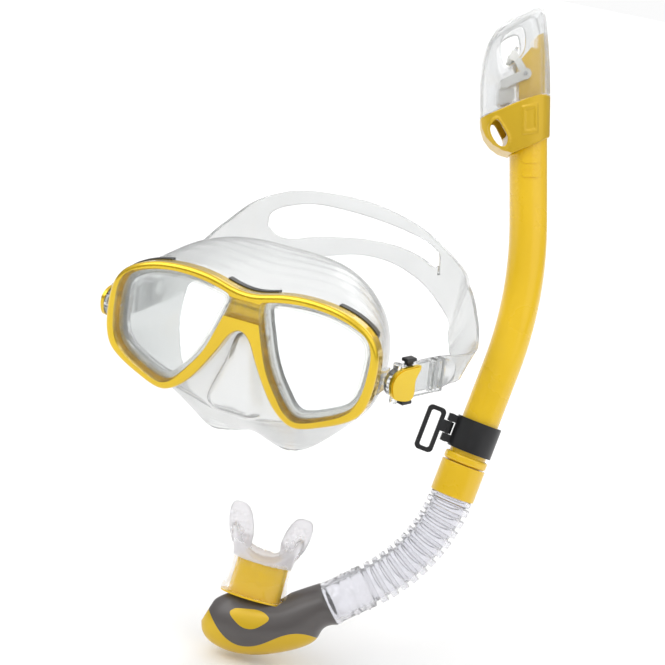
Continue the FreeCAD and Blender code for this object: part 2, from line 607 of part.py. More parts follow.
# --------------------------------------------------------------- snorkel: chamber, mouthpiece
CUFF_END = hose_point(HOSE_ANGLE) + hose_dir(HOSE_ANGLE) * CUFF_LENGTH
# stations along the chamber: centre (x, y), tilt of the section in degrees, half height, half depth
CHAMBER = [((CUFF_END.x, CUFF_END.y), 25.3, 14.2, 14.2), ((-105.5, -112.0), 22, 16.2, 14.8),
           ((-120.0, -117.8), 12, 17.2, 15.6), ((-135.0, -119.2), 0, 18.0, 15.8),
           ((-149.0, -117.4), -10, 18.6, 14.8), ((-159.5, -113.6), -24, 17.2, 12.2),
           ((-166.0, -110.8), -30, 12.4, 8.0), ((-168.6, -109.6), -32, 7.6, 4.2)]
TRIM_TOP = [(-168.0, -107.5), (-163.5, -115.3), (-157.9, -123.0), (-150, -128.6), (-142, -129.8),
            (-133, -127.7), (-124, -123.8), (-116.1, -121.7), (-107, -122.2), (-99.1, -126.2)]
BADGE = [(-153.0, -107.2), (-147, -105.4), (-139, -106.6), (-131.3, -109.4), (-129.3, -112),
         (-133, -115.6), (-139.5, -118.3), (-145, -117.6), (-150.4, -113.6)]
MOUTH_BASE = V(-139.2, -99.5, 0)
MOUTH_LEAN = 16.0           # degrees that the mouthpiece leans from upright
PURGE_X, PURGE_Y = -135.5, -127.0


def chamber_station(centre, tilt, height, depth, grow=0.0):
    """Oval section across the chamber; tilt 0 stands upright."""
    a = math.radians(tilt)
    major = V(-math.sin(a), math.cos(a), 0)
    normal = V(math.cos(a), math.sin(a), 0)
    h, d = height + grow, depth + grow
    oval = Part.Ellipse(V(0, 0, 0), h, d) if h > d else Part.Circle(V(0, 0, 0), V(0, 0, 1), h)
    edge = oval.toShape()
    matrix = FreeCAD.Matrix(major.x, 0, normal.x, centre[0], major.y, 0, normal.y, centre[1],
                            0, 1, 0, 0, 0, 0, 0, 1)
    edge.Placement = FreeCAD.Placement(matrix)
    return Part.Wire([edge])


def chamber_solid(grow=0.0):
    return loft([chamber_station(c, t, h, d, grow) for c, t, h, d in CHAMBER])


def mouth_oval(distance, width, depth):
    """Oval across the mouthpiece's axis at `distance` above its base."""
    a = math.radians(MOUTH_LEAN)
    axis = V(math.sin(a), math.cos(a), 0)
    across = V(math.cos(a), -math.sin(a), 0)
    c = MOUTH_BASE + axis * distance
    matrix = FreeCAD.Matrix(across.x, 0, axis.x, c.x, across.y, 0, axis.y, c.y, 0, -1, 0, 0, 0, 0, 0, 1)
    edge = Part.Ellipse(V(0, 0, 0), width / 2, depth / 2).toShape()
    edge.Placement = FreeCAD.Placement(matrix)
    return Part.Wire([edge])


def mouth_loft(stations, ruled=False):
    return loft([mouth_oval(*s) for s in stations], ruled)


def trim_cutter(depth=25.0):
    below = [(-99.1, -150), (-175, -150), (-175, -106)]
    curve = Part.BSplineCurve()
    curve.interpolate([V(x, y, -depth) for x, y in TRIM_TOP])
    points = [curve.EndPoint] + [V(x, y, -depth) for x, y in below] + [curve.StartPoint]
    edges = [curve.toShape()] + [Part.makeLine(a, b) for a, b in zip(points, points[1:])]
    return Part.Face(Part.Wire(edges)).extrude(V(0, 0, 2 * depth))


STUB_OUTER = [(-2, 34, 18), (8, 33.6, 17.6), (22, 33, 17)]
STUB_INNER = [(-14, 30, 14), (8, 29.6, 13.6), (23, 29, 13)]
NECK_OUTER = [(-1.0, 44.6, 25.5), (6, 39.5, 22.5), (13, 36.6, 20.8), (22, 37.0, 21), (29, 42, 24)]
NECK_INNER = [(-3.0, 34.06, 18.06), (8, 33.66, 17.66), (22.2, 33.06, 17.06), (29.5, 37.6, 20)]


def chamber_parts():
    whole = chamber_solid()
    hollow = chamber_solid(-2.6)
    mouth_way = mouth_loft([(-12, 30, 14), (0, 30, 14), (30, 30, 14)])
    seat = mouth_loft([(-2.0, 46, 27), (10, 46, 27)])
    shell = whole.cut(hollow).cut(mouth_way)
    badge_prism = flat(BADGE, -25, 25)
    keep = box(-200, -80, -150, -60, -30.0, 11.6)
    cutter = trim_cutter()
    body = shell.cut(cutter).cut(badge_prism.cut(keep)).cut(seat)
    cover = shell.common(cutter).cut(purge_slots())
    badge = shell.common(badge_prism).cut(keep)
    return body, cover, badge


def mouth_stub():
    outer = mouth_loft(STUB_OUTER, True).fuse(mouth_loft([(-2.0, 43, 24), (-1.0, 43, 24)]))
    return outer.cut(mouth_loft(STUB_INNER, True))


def bite_tab(side):
    """Ridged block that the teeth hold, at one corner of the lips' flange."""
    a = math.radians(MOUTH_LEAN)
    axis = V(math.sin(a), math.cos(a), 0)
    across = V(math.cos(a), -math.sin(a), 0)
    block = box(-7.2, 7.2, 0, 25.0, -3.2, 3.2)
    block = block.makeFillet(4.5, [e for e in block.Edges if abs(e.tangentAt(0).z) > 0.9])
    block.rotate(V(0, 0, 0), V(0, 0, 1), -side * 14.0)
    matrix = FreeCAD.Matrix(across.x, axis.x, 0, 0, across.y, axis.y, 0, 0, 0, 0, 1, 0, 0, 0, 0, 1)
    block.Placement = FreeCAD.Placement(matrix).multiply(block.Placement)
    block.translate(MOUTH_BASE + across * (side * 21.0) + axis * 31.0)
    return block


def mouthpiece():
    """Clear silicone neck over the stub, opening to a lip flange with a bite tab each side."""
    neck = mouth_loft(NECK_OUTER)
    flange = mouth_loft([(29, 46, 26), (33, 54, 31)])
    body = neck.fuse(flange)
    for side in (-1, 1):
        body = body.fuse(bite_tab(side))
    return body.cut(mouth_loft(NECK_INNER, True)).cut(mouth_loft([(29, 37.4, 20), (33.5, 41, 22)]))


def purge_seat():
    """Web across the chamber above its floor, with the hole that the purge flap covers."""
    web = chamber_solid(-2.6).common(box(-146, -125, PURGE_Y, PURGE_Y + 1.6, -20, 20))
    return web.cut(Part.makeCylinder(4.6, 4.0, V(PURGE_X, PURGE_Y - 1, 0), V(0, 1, 0)))


def purge_flap():
    """Silicone disc under the web, hinged at its edge."""
    return Part.makeCylinder(6.2, 0.9, V(PURGE_X, PURGE_Y - 1.2, 0), V(0, 1, 0))


def purge_slots():
    slots = [box(PURGE_X - 6, PURGE_X + 6, -150, -130, w - 1.2, w + 1.2) for w in (-5.0, 0.0, 5.0)]
    return slots[0].fuse(slots[1]).fuse(slots[2])


# ----------------------------------------------------------------------------------- export
def mask_nodes():
    nodes = {"front_frame": front_frame(), "rear_frame": rear_frame(), "bridge_latch": bridge_latch(),
             "strap": strap()}
    nodes["skirt"] = skirt().cut(nodes["rear_frame"])
    hub = buckle_hub().cut(nodes["rear_frame"])
    for name, shape in {"lens_ring": lens_ring(), "lens": lens(), "buckle_hub": hub}.items():
        for side, placed in both_sides(shape).items():
            nodes[f"{name}_{side}"] = placed
    for side in BUCKLE_FLARE:
        nodes[f"buckle_body_{side}"] = buckle_body(side)
        nodes[f"buckle_cover_{side}"] = buckle_cover(side)
        nodes[f"strap_bar_{side}"] = strap_bar(side)
        nodes[f"release_button_upper_{side}"] = release_button(1, side)
        nodes[f"release_button_lower_{side}"] = release_button(-1, side)
    return nodes


def snorkel_nodes():
    body, cover, badge = chamber_parts()
    nodes = {"tube": tube(), "top_base": top_base(), "top_cap": top_cap(),
             "valve_column": valve_column(), "float_pin": float_pin(), "float_arm": float_arm(),
             "float_block": float_block(), "valve_flap": valve_flap(),
             "keeper_collar": keeper_collar(), "keeper_pin": keeper_pin(), "keeper_loop": keeper_loop(),
             "swivel_sleeve": swivel_sleeve(), "flex_hose": flex_hose(), "chamber": body,
             "purge_cover": cover, "chamber_badge": badge, "mouth_stub": mouth_stub(),
             "mouthpiece": mouthpiece(), "purge_seat": purge_seat(), "purge_flap": purge_flap()}
    return {name: snorkel_place(shape) for name, shape in nodes.items()}


def main():
    os.makedirs(OUT, exist_ok=True)
    for name, shape in {**mask_nodes(), **snorkel_nodes()}.items():
        shape.exportStep(f"{OUT}/{name}.step")
        print(name, "valid", shape.isValid(), "solids", len(shape.Solids), "volume", round(shape.Volume))


main()
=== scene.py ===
"""The looks of a snorkelling set: a two-window mask and a dry-top snorkel. Metres, row frame."""

import json
import math

import bmesh
import bpy
from mathutils import Matrix, Vector


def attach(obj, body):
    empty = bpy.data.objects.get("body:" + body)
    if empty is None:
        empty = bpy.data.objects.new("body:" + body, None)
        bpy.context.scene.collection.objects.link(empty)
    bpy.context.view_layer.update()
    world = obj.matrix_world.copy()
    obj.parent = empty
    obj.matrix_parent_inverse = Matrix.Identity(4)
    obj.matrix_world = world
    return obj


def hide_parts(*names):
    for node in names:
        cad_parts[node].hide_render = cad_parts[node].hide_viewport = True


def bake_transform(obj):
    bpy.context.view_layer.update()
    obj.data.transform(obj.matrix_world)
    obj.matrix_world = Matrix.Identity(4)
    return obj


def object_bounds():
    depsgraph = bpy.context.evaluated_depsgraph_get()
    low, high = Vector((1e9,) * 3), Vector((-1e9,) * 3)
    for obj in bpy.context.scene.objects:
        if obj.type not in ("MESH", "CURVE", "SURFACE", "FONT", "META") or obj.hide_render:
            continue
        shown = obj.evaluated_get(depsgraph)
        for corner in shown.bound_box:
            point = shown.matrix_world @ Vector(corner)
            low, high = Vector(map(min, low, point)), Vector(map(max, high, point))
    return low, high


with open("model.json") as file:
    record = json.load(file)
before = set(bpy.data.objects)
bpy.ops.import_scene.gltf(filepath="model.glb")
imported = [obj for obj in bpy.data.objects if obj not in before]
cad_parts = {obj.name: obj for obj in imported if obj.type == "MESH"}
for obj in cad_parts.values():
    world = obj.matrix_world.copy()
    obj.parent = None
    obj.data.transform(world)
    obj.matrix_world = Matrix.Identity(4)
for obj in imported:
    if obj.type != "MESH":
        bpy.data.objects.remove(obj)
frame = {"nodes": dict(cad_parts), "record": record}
CAD_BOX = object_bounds()
NODES = frame["nodes"]
SIDES = ("left", "right")


# ------------------------------------------------------------------------------ materials
def noise(tree, scale, detail=3.0, stretch=None):
    """Noise in object space, optionally stretched along an axis."""
    coords = tree.nodes.new("ShaderNodeTexCoord")
    texture = tree.nodes.new("ShaderNodeTexNoise")
    texture.inputs["Scale"].default_value = scale
    texture.inputs["Detail"].default_value = detail
    if stretch:
        mapping = tree.nodes.new("ShaderNodeMapping")
        mapping.inputs["Scale"].default_value = stretch
        tree.links.new(coords.outputs["Object"], mapping.inputs["Vector"])
        tree.links.new(mapping.outputs["Vector"], texture.inputs["Vector"])
    else:
        tree.links.new(coords.outputs["Object"], texture.inputs["Vector"])
    return texture.outputs["Fac"]


def ramp(tree, value, low, high, start=0.3, end=0.7):
    """Noise value to a colour or a grey between low and high."""
    node = tree.nodes.new("ShaderNodeValToRGB")
    stops = node.color_ramp.elements
    stops[0].position, stops[1].position = start, end
    stops[0].color = (*low, 1) if isinstance(low, tuple) else (low, low, low, 1)
    stops[1].color = (*high, 1) if isinstance(high, tuple) else (high, high, high, 1)
    tree.links.new(value, node.inputs["Fac"])
    return node.outputs["Color"]


def make_material(name, low, high, rough=(0.3, 0.4), scale=60.0, bump=(0.0, 900.0), **sockets):
    """Principled material: colour and roughness vary a little over the surface, with a fine grain."""
    material = bpy.data.materials.new(name)
    material.use_nodes = True
    tree = material.node_tree
    shader = tree.nodes["Principled BSDF"]
    tree.links.new(ramp(tree, noise(tree, scale), low, high), shader.inputs["Base Color"])
    tree.links.new(ramp(tree, noise(tree, scale * 2.3, 5.0), *rough), shader.inputs["Roughness"])
    if bump[0] > 0:
        node = tree.nodes.new("ShaderNodeBump")
        node.inputs["Strength"].default_value = bump[0]
        node.inputs["Distance"].default_value = 0.0002
        tree.links.new(noise(tree, bump[1], 2.0), node.inputs["Height"])
        tree.links.new(node.outputs["Normal"], shader.inputs["Normal"])
    for key, value in sockets.items():
        shader.inputs[key.replace("_", " ")].default_value = value
    return material


MATERIALS = {
    "frame_yellow": make_material("pearl_yellow", (0.70, 0.46, 0.006), (0.80, 0.55, 0.01), (0.2, 0.27),
                                  14, (0.012, 260), Metallic=0.72, Coat_Weight=0.8, Coat_Roughness=0.05),
    "tube_yellow": make_material("tube_yellow", (0.80, 0.50, 0.004), (0.86, 0.56, 0.01), (0.24, 0.32),
                                 14, (0.012, 260), Coat_Weight=0.35, Coat_Roughness=0.08),
    "base_gold": make_material("pearl_gold", (0.60, 0.38, 0.006), (0.70, 0.46, 0.01), (0.28, 0.36),
                               14, (0.012, 260), Metallic=0.25, Coat_Weight=0.2, Coat_Roughness=0.1),
    "frame_dark": make_material("frame_dark", (0.025, 0.026, 0.027), (0.04, 0.04, 0.042), (0.3, 0.42),
                                40, (0.05, 800)),
    "black_plastic": make_material("black_plastic", (0.008, 0.008, 0.009), (0.016, 0.016, 0.018),
                                   (0.28, 0.4), 40, (0.05, 800)),
    "chamber_grey": make_material("chamber_grey", (0.072, 0.064, 0.062), (0.090, 0.080, 0.078),
                                  (0.3, 0.4), 30, (0.04, 900), Coat_Weight=0.25, Coat_Roughness=0.2),
    "silicone": make_material("clear_silicone", (0.83, 0.84, 0.84), (0.89, 0.90, 0.90), (0.14, 0.24),
                              12, (0.02, 200), Transmission_Weight=0.78, IOR=1.41),
    "milky_silicone": make_material("milky_silicone", (0.90, 0.89, 0.92), (0.95, 0.94, 0.96),
                                    (0.25, 0.35), 14, (0.02, 200), Transmission_Weight=0.66, IOR=1.41),
    "neck_silicone": make_material("neck_silicone", (0.95, 0.95, 0.96), (0.98, 0.98, 0.98), (0.06, 0.12),
                                   14, (0.02, 200), Transmission_Weight=0.92, IOR=1.41, Alpha=0.2),
    "clear_hose": make_material("clear_hose", (0.89, 0.89, 0.93), (0.94, 0.94, 0.97), (0.04, 0.1), 14,
                                (0.02, 200), Transmission_Weight=0.93, IOR=1.45),
    "clear_plastic": make_material("clear_plastic", (0.92, 0.93, 0.93), (0.97, 0.98, 0.98),
                                   (0.02, 0.06), 14, Transmission_Weight=0.96, IOR=1.46),
    "clear_cap": make_material("clear_cap", (0.92, 0.93, 0.94), (0.97, 0.98, 0.98), (0.02, 0.06), 14,
                               Transmission_Weight=0.95, IOR=1.46, Alpha=0.72),
    "clear_ring": make_material("clear_ring", (0.90, 0.89, 0.84), (0.95, 0.95, 0.92), (0.03, 0.08), 14,
                                Transmission_Weight=0.75, IOR=1.46, Alpha=0.22),
    "clear_latch": make_material("clear_latch", (0.90, 0.90, 0.88), (0.96, 0.96, 0.95), (0.04, 0.1), 14,
                                 Transmission_Weight=0.8, IOR=1.46, Alpha=0.22),
    "lens_glass": make_material("lens_glass", (0.93, 0.96, 0.96), (0.96, 0.98, 0.98), (0.0, 0.02), 8,
                                Transmission_Weight=1.0, IOR=1.46),
    "pin_steel": make_material("pin_steel", (0.5, 0.5, 0.5), (0.62, 0.62, 0.62), (0.2, 0.35), 80,
                               (0.1, 900), Metallic=1.0),
    "float_white": make_material("float_white", (0.78, 0.78, 0.75), (0.86, 0.86, 0.83), (0.4, 0.5), 60,
                                 (0.05, 900)),
}


# CAD nodes whose look is not their slot's own
LOOKS = {"lens_ring_left": "clear_ring", "lens_ring_right": "clear_ring", "bridge_latch": "clear_latch"}


def dress_cad():
    """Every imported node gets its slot's material, or the look named for it."""
    for entry in frame["record"]["subparts"]:
        node = NODES[entry["node"]]
        node.data.materials.clear()
        node.data.materials.append(MATERIALS[LOOKS.get(entry["node"], entry["material_slot"])])


# ------------------------------------------------------------------------ shapes and places
MM = 0.001
SNORKEL_AT = Vector((0.1117, 0.0900, -0.0674))
SNORKEL_TURN, SNORKEL_LEAN, SNORKEL_ROLL = (math.radians(a) for a in (16.4, 14.3, 11.5))


def snorkel_axes():
    """Snorkel's own axes: across it, up it and out toward its front."""
    a, e, r = SNORKEL_TURN, SNORKEL_LEAN, SNORKEL_ROLL
    out = Vector((math.sin(a) * math.cos(e), -math.cos(a) * math.cos(e), math.sin(e)))
    level = Vector((math.cos(a), math.sin(a), 0))
    across = level * math.cos(r) + out.cross(level) * math.sin(r)
    return across, out.cross(across), out


ACROSS, UP, OUTWARD = snorkel_axes()
LEAN = math.radians(21)


def mask_point(x, y, z):
    """Row-frame millimetres to metres."""
    return Vector((x * MM, y * MM, z * MM))


def snorkel_point(x, y, w=0.0):
    """Millimetres in the snorkel's plane, and out of it, to the row frame."""
    return SNORKEL_AT + (ACROSS * x + UP * y + OUTWARD * w) * MM


def catmull(points, per_span, closed=True):
    """Smooth line through points, each a tuple of any length."""
    n = len(points)
    spans = n if closed else n - 1
    out = []
    for i in range(spans):
        if closed:
            a, b, c, d = (points[(i + k) % n] for k in (-1, 0, 1, 2))
        else:
            a, b, c, d = (points[min(max(i + k, 0), n - 1)] for k in (-1, 0, 1, 2))
        for step in range(per_span):
            t = step / per_span
            out.append(tuple(0.5 * (2 * q + (r - p) * t + (2 * p - 5 * q + 4 * r - s) * t * t
                                    + (3 * q - p - 3 * r + s) * t ** 3) for p, q, r, s in zip(a, b, c, d)))
    if not closed:
        out.append(tuple(points[-1]))
    return out


def even(points, count):
    """Closed outline with its points spread evenly."""
    loop = list(points) + [points[0]]
    lengths = [math.dist(a, b) for a, b in zip(loop, loop[1:])]
    total, out, i, gone = sum(lengths), [], 0, 0.0
    for k in range(count):
        target = total * k / count
        while gone + lengths[i] < target:
            gone += lengths[i]
            i += 1
        t = (target - gone) / lengths[i]
        out.append(tuple(p + (q - p) * t for p, q in zip(loop[i], loop[i + 1])))
    return out


def mirror_half(half):
    """Whole outline from its right half, whose ends lie on the middle line."""
    return list(half) + [(-x, z) for x, z in reversed(half[1:-1])]


def grown(points, distance):
    """Clockwise outline moved outward along its normals."""
    out, n = [], len(points)
    for i, (x, z) in enumerate(points):
        (xa, za), (xb, zb) = points[i - 1], points[(i + 1) % n]
        tx, tz = xb - xa, zb - za
        length = math.hypot(tx, tz) or 1.0
        out.append((x - tz / length * distance, z + tx / length * distance))
    return out


def new_piece(name, verts, faces):
    """Mesh made from its points and faces."""
    mesh = bpy.data.meshes.new(name)
    mesh.from_pydata([tuple(v) for v in verts], [], faces)
    mesh.validate()
    piece = bpy.data.objects.new(name, mesh)
    bpy.context.scene.collection.objects.link(piece)
    return piece


def skin(name, rings, caps=True):
    """Closed rings of equal count joined by quads, with flat ends."""
    n = len(rings[0])
    verts = [v for ring in rings for v in ring]
    faces = []
    for r in range(len(rings) - 1):
        for i in range(n):
            j = (i + 1) % n
            faces.append((r * n + i, r * n + j, (r + 1) * n + j, (r + 1) * n + i))
    if caps:
        faces.append(tuple(reversed(range(n))))
        faces.append(tuple((len(rings) - 1) * n + i for i in range(n)))
    piece = new_piece(name, verts, faces)
    outward_faces(piece)
    return piece


def outward_faces(piece):
    """Doubled points joined and every face turned outward."""
    mesh = bmesh.new()
    mesh.from_mesh(piece.data)
    bmesh.ops.remove_doubles(mesh, verts=mesh.verts, dist=1e-6)
    bmesh.ops.recalc_face_normals(mesh, faces=mesh.faces)
    mesh.to_mesh(piece.data)
    mesh.free()


def combine(piece, other, operation):
    """Boolean of two pieces, and the other is used up."""
    modifier = piece.modifiers.new(operation.lower(), "BOOLEAN")
    modifier.operation, modifier.object, modifier.solver = operation, other, "EXACT"
    settle(piece)
    bpy.data.objects.remove(other)
    return piece


def settle(piece):
    """Modifiers made real."""
    bpy.context.view_layer.update()
    graph = bpy.context.evaluated_depsgraph_get()
    mesh = bpy.data.meshes.new_from_object(piece.evaluated_get(graph))
    piece.modifiers.clear()
    piece.data = mesh


def soften(piece, voxel, rounds, factor=0.5):
    """Even mesh with its edges rounded off, as moulded rubber has them."""
    remesh = piece.modifiers.new("even", "REMESH")
    remesh.mode, remesh.voxel_size = "VOXEL", voxel * MM
    smooth = piece.modifiers.new("round", "SMOOTH")
    smooth.iterations, smooth.factor = rounds, factor
    settle(piece)
    return piece


def show(piece, body, slot, *stands_for, look=None):
    """Smooth piece in its slot's material, riding on a body in place of CAD nodes."""
    for polygon in piece.data.polygons:
        polygon.use_smooth = True
    piece.data.materials.clear()
    piece.data.materials.append(MATERIALS[look or slot])
    if body:
        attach(piece, body)
    if stands_for:
        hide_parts(*stands_for)
    return piece


# -------------------------------------------------------------------------------- skirt
APERTURE = [(13.5, 17.4), (24, 19.4), (34, 20.4), (44, 20.3), (54, 18.9), (62.5, 16.4), (68.8, 12.8),
            (71.2, 7.4), (71.6, -2), (71.2, -9), (70, -16), (67.3, -22.2), (62, -26.8), (54, -31),
            (46, -34.4), (40.5, -35.4), (36.2, -33), (31.4, -27.2), (25.6, -19.2), (20.6, -9.4), (17, 1),
            (13.8, 11)]
SKIRT_FRONT = [(0, 22.4), (17, 25), (36, 27), (54, 25.2), (68.4, 19.6), (75.2, 11), (77.2, -4),
               (75.6, -19), (69.6, -29.5), (60, -35.8), (48, -41), (37, -44.5), (25, -47.5), (12, -50.5),
               (0, -51)]
SKIRT_MIDDLE = [(0, 36), (18, 37.2), (37, 37.2), (53, 32.5), (66, 22), (73, 9), (75, -6),
                (74.4, -21), (69.5, -34), (60, -44), (49, -52.5), (37, -59.5), (25, -63), (12, -63.5),
                (0, -62.5)]
SKIRT_RIM = [(0, 41), (17, 40.6), (33, 37.4), (45, 30.4), (55, 20), (61.6, 8), (65, -7), (65, -23),
             (61, -37), (55, -49.5), (46.5, -61), (36, -71), (24, -76), (12, -74), (0, -71)]
# nose pocket: (y, half width above, half width below, top, bottom)
NOSE = [(-57.6, 3.5, 8.5, -11, -44.5), (-56.8, 5.0, 11.5, -8, -47), (-54, 5.6, 14.5, -5, -48.6),
        (-50, 5.6, 18.5, -3.4, -49.6), (-44, 7, 21, -3, -50.4)]
NOSE_FRONT_STATIONS = 2
SKIRT_COUNT, NOSE_COUNT = 144, 72
SKIRT_PLACES = (-51.0, -26.0, 10.0)
SKIRT_WALL, SKIRT_VOXEL = 2.0, 0.9
WINDOW_SEAT = 4.0
FACE_CURVE, FACE_LEVEL = 0.005, -8


def parabola_weights(places, at):
    """Weights of the values at three places that give the parabola's value in between."""
    weights = []
    for place in places:
        weight = 1.0
        for other in places:
            if other != place:
                weight *= (at - other) / (place - other)
        weights.append(weight)
    return weights


def skirt_ring(y, inset=0.0):
    """Skirt's outline at a depth, following the face at the rim."""
    outlines = [even(catmull(mirror_half(half), 8), SKIRT_COUNT)
                for half in (SKIRT_FRONT, SKIRT_MIDDLE, SKIRT_RIM)]
    weights = parabola_weights(SKIRT_PLACES, y)
    ring = [tuple(sum(w * o[k][c] for w, o in zip(weights, outlines)) for c in (0, 1))
            for k in range(SKIRT_COUNT)]
    if inset:
        ring = grown(ring, -inset)
    front, rim = SKIRT_PLACES[0], SKIRT_PLACES[-1]
    follow = max(0.0, (y - front) / (rim - front)) ** 2
    return [mask_point(x, y - FACE_CURVE * (z - FACE_LEVEL) ** 2 * follow, z) for x, z in ring]


def nose_ring(station, inset=0.0):
    """Nose pocket's outline at one of its stations."""
    y, above, below, top, bottom = station
    corners = [(above, top), (below * 0.62, (top + bottom) / 2 + 5), (below, bottom + 6),
               (below * 0.72, bottom), (0, bottom - 0.6)]
    outline = [(0, top + 1.2)] + corners
    ring = even(catmull(mirror_half(outline), 8), NOSE_COUNT)
    if inset:
        ring = grown(ring, -inset)
    return [mask_point(x, y, z) for x, z in ring]


def aperture_plug(side, grow, y0, y1):
    """Plug in the shape of one window, from y0 back to y1."""
    ring = grown(even(catmull(APERTURE, 6), 120), grow)
    sign = 1 if side == "left" else -1
    return skin("plug", [[mask_point(sign * x, y, z) for x, z in ring] for y in (y0, y1)])


def skirt_body(inset, front):
    """Skirt and nose pocket as one filled form; with an inset, the room inside them."""
    depths = [front, -44, -36, -28, -20, -12, -4, 2, 6, 8.5] + ([14] if inset else [])
    body = skin("skirt_form", [skirt_ring(y, inset) for y in depths])
    nose = [(y + (inset if i < NOSE_FRONT_STATIONS else 0), *rest) for i, (y, *rest) in enumerate(NOSE)]
    return combine(body, skin("nose_form", [nose_ring(s, inset) for s in nose]), "UNION")


def rim_lip():
    """Feathered lip that turns in from the rim and seals on the face."""
    path = [(0.0, -4.0), (0.3, 5.0), (0.0, 8.6), (1.6, 9.6), (5.0, 9.0), (9.5, 7.4), (12.5, 5.4),
            (12.2, 4.5), (9.0, 6.0), (5.2, 7.4), (2.6, 7.4), (2.0, 4.0), (2.0, -4.0)]
    rings = [skirt_ring(y, inset) for inset, y in path]
    rings.append(rings[0])
    return skin("lip_form", rings, caps=False)


def add_skirt():
    front = SKIRT_PLACES[0]
    skirt = skirt_body(0.0, front)
    for side in SIDES:
        combine(skirt, aperture_plug(side, WINDOW_SEAT, front - 5, front + 1), "UNION")
    combine(skirt, skirt_body(SKIRT_WALL, front + SKIRT_WALL), "DIFFERENCE")
    for side in SIDES:
        combine(skirt, aperture_plug(side, 0.0, front - 9, front + 5), "DIFFERENCE")
    combine(skirt, rim_lip(), "UNION")
    soften(skirt, SKIRT_VOXEL, 5)
    skirt.name = "skirt_moulding"
    return show(skirt, "mask", "silicone", "skirt")


# -------------------------------------------------------------------------------- strap
STRAP_PATH = [(90.3, -26.7, -7.3, 17, 0), (99.8, -10.2, -4.9, 17, 0), (107.6, 4, -4.4, 17, 6),
              (109.6, 20, -3.8, 18, 18), (103.4, 39, -1.6, 21, 32), (96.4, 55, 6, 28, 18),
              (89, 70, 13, 33, 8), (79, 92, 19, 32, 3), (53, 117, 29, 30, 0), (28, 125, 36, 31, 0),
              (0, 128, 37.5, 36, 0), (-30, 128, 32.5, 43, 0), (-50, 124, 28.5, 42, 0),
              (-68, 111, 21, 36, 0), (-77, 88, 12, 29, 0), (-82, 64, 3, 23, 0), (-83, 38, -4.5, 19, 0),
              (-80.3, 12, -6, 17, 0), (-78, -8.6, -4.9, 17, 0), (-80.65, -27.4, -7.3, 17, 0)]
STRAP_THICK, STRAP_EDGE = 2.3, 0.7
STRAP_ROWS, STRAP_STEPS = 10, 18
WINDOW_FROM_Y = 60
TAIL_FROM, TAIL_TO = -4.6, 1.2
BUCKLE_PIVOT, BUCKLE_RISE = (86.5, -41.0, -9.0), 7.0
BUCKLE_FLARE = {"left": 30.0, "right": -8.0}
WINDOW_TOP = [(-60.5, 26), (-58, 34), (-48, 40.6), (-30, 45.6), (0, 46.3), (28, 44), (47, 40.6),
              (57.5, 36.4), (61, 30)]
WINDOW_BOTTOM = [(-60.5, 26), (-56.5, 19.4), (-47, 18.6), (-30, 24), (0, 30), (28, 32), (47, 29.6),
                 (57, 26.8), (61, 30)]


def height_on(line, x):
    """Height of a line of (x, z) points, x rising, at a place along it."""
    for (x0, z0), (x1, z1) in zip(line, line[1:]):
        if x0 <= x <= x1:
            return z0 + (z1 - z0) * (x - x0) / max(x1 - x0, 1e-6)
    return line[0][1] if x < line[0][0] else line[-1][1]


def buckle_point(side, out, along, up):
    """From a buckle's own axes (out from the head, along the strap, up) to the row frame."""
    flare, rise = math.radians(BUCKLE_FLARE[side]), math.radians(BUCKLE_RISE)
    y = along * math.cos(rise) - up * math.sin(rise)
    z = along * math.sin(rise) + up * math.cos(rise)
    x = BUCKLE_PIVOT[0] + out * math.cos(flare) + y * math.sin(flare)
    y = BUCKLE_PIVOT[1] - out * math.sin(flare) + y * math.cos(flare)
    return mask_point(x if side == "left" else -x, y, BUCKLE_PIVOT[2] + z)


def strap_tail(side):
    """Free end of the strap, lying on it behind the buckle."""
    ring = catmull([(31, 7.5), (36, 7.7), (40.6, 6.2), (43.6, 2.6), (43.6, -2.6), (40.6, -6.2), (36, -7.7),
                    (31, -7.5)], 5)
    return skin("tail_form", [[buckle_point(side, out, along, up) for along, up in ring]
                              for out in (TAIL_FROM, TAIL_TO)])


def across_strap(line, i):
    """Direction across the strap at a step of its line."""
    before, after = line[max(i - 1, 0)], line[min(i + 1, len(line) - 1)]
    along = (Vector(after[:3]) - Vector(before[:3])).normalized()
    upright = (Vector((0, 0, 1)) - along * along.z).normalized()
    lean = math.radians(line[i][4])
    return upright * math.cos(lean) + along.cross(upright) * math.sin(lean)


def strap_sheet():
    """Strap's middle surface: two bands that meet, or part round the window behind the head."""
    line = catmull(STRAP_PATH, STRAP_STEPS, closed=False)
    top, bottom = (catmull(edge, 8, closed=False) for edge in (WINDOW_TOP, WINDOW_BOTTOM))
    verts, faces = [], []
    for i, (x, y, z, width, _) in enumerate(line):
        up = across_strap(line, i)
        inside = top[0][0] < x < top[-1][0] and y > WINDOW_FROM_Y
        split_low = (height_on(bottom, x) - z) / up.z if inside else 0.0
        split_high = (height_on(top, x) - z) / up.z if inside else 0.0
        for low, high in ((-width / 2, split_low), (split_high, width / 2)):
            for k in range(STRAP_ROWS + 1):
                verts.append((Vector((x, y, z)) + up * (low + (high - low) * k / STRAP_ROWS)) * MM)
    per = 2 * (STRAP_ROWS + 1)
    for i in range(len(line) - 1):
        for band in (0, STRAP_ROWS + 1):
            for k in range(STRAP_ROWS):
                a = i * per + band + k
                faces.append((a, a + 1, a + 1 + per, a + per))
    return new_piece("head_band", verts, faces)


def add_strap():
    strap = strap_sheet()
    outward_faces(strap)
    thick = strap.modifiers.new("thick", "SOLIDIFY")
    thick.thickness, thick.offset = STRAP_THICK * MM, 0
    bevel = strap.modifiers.new("edge", "BEVEL")
    bevel.width, bevel.segments, bevel.limit_method = STRAP_EDGE * MM, 3, "ANGLE"
    settle(strap)
    for side in SIDES:
        combine(strap, strap_tail(side), "UNION")
    return show(strap, "head_strap", "silicone", "strap")


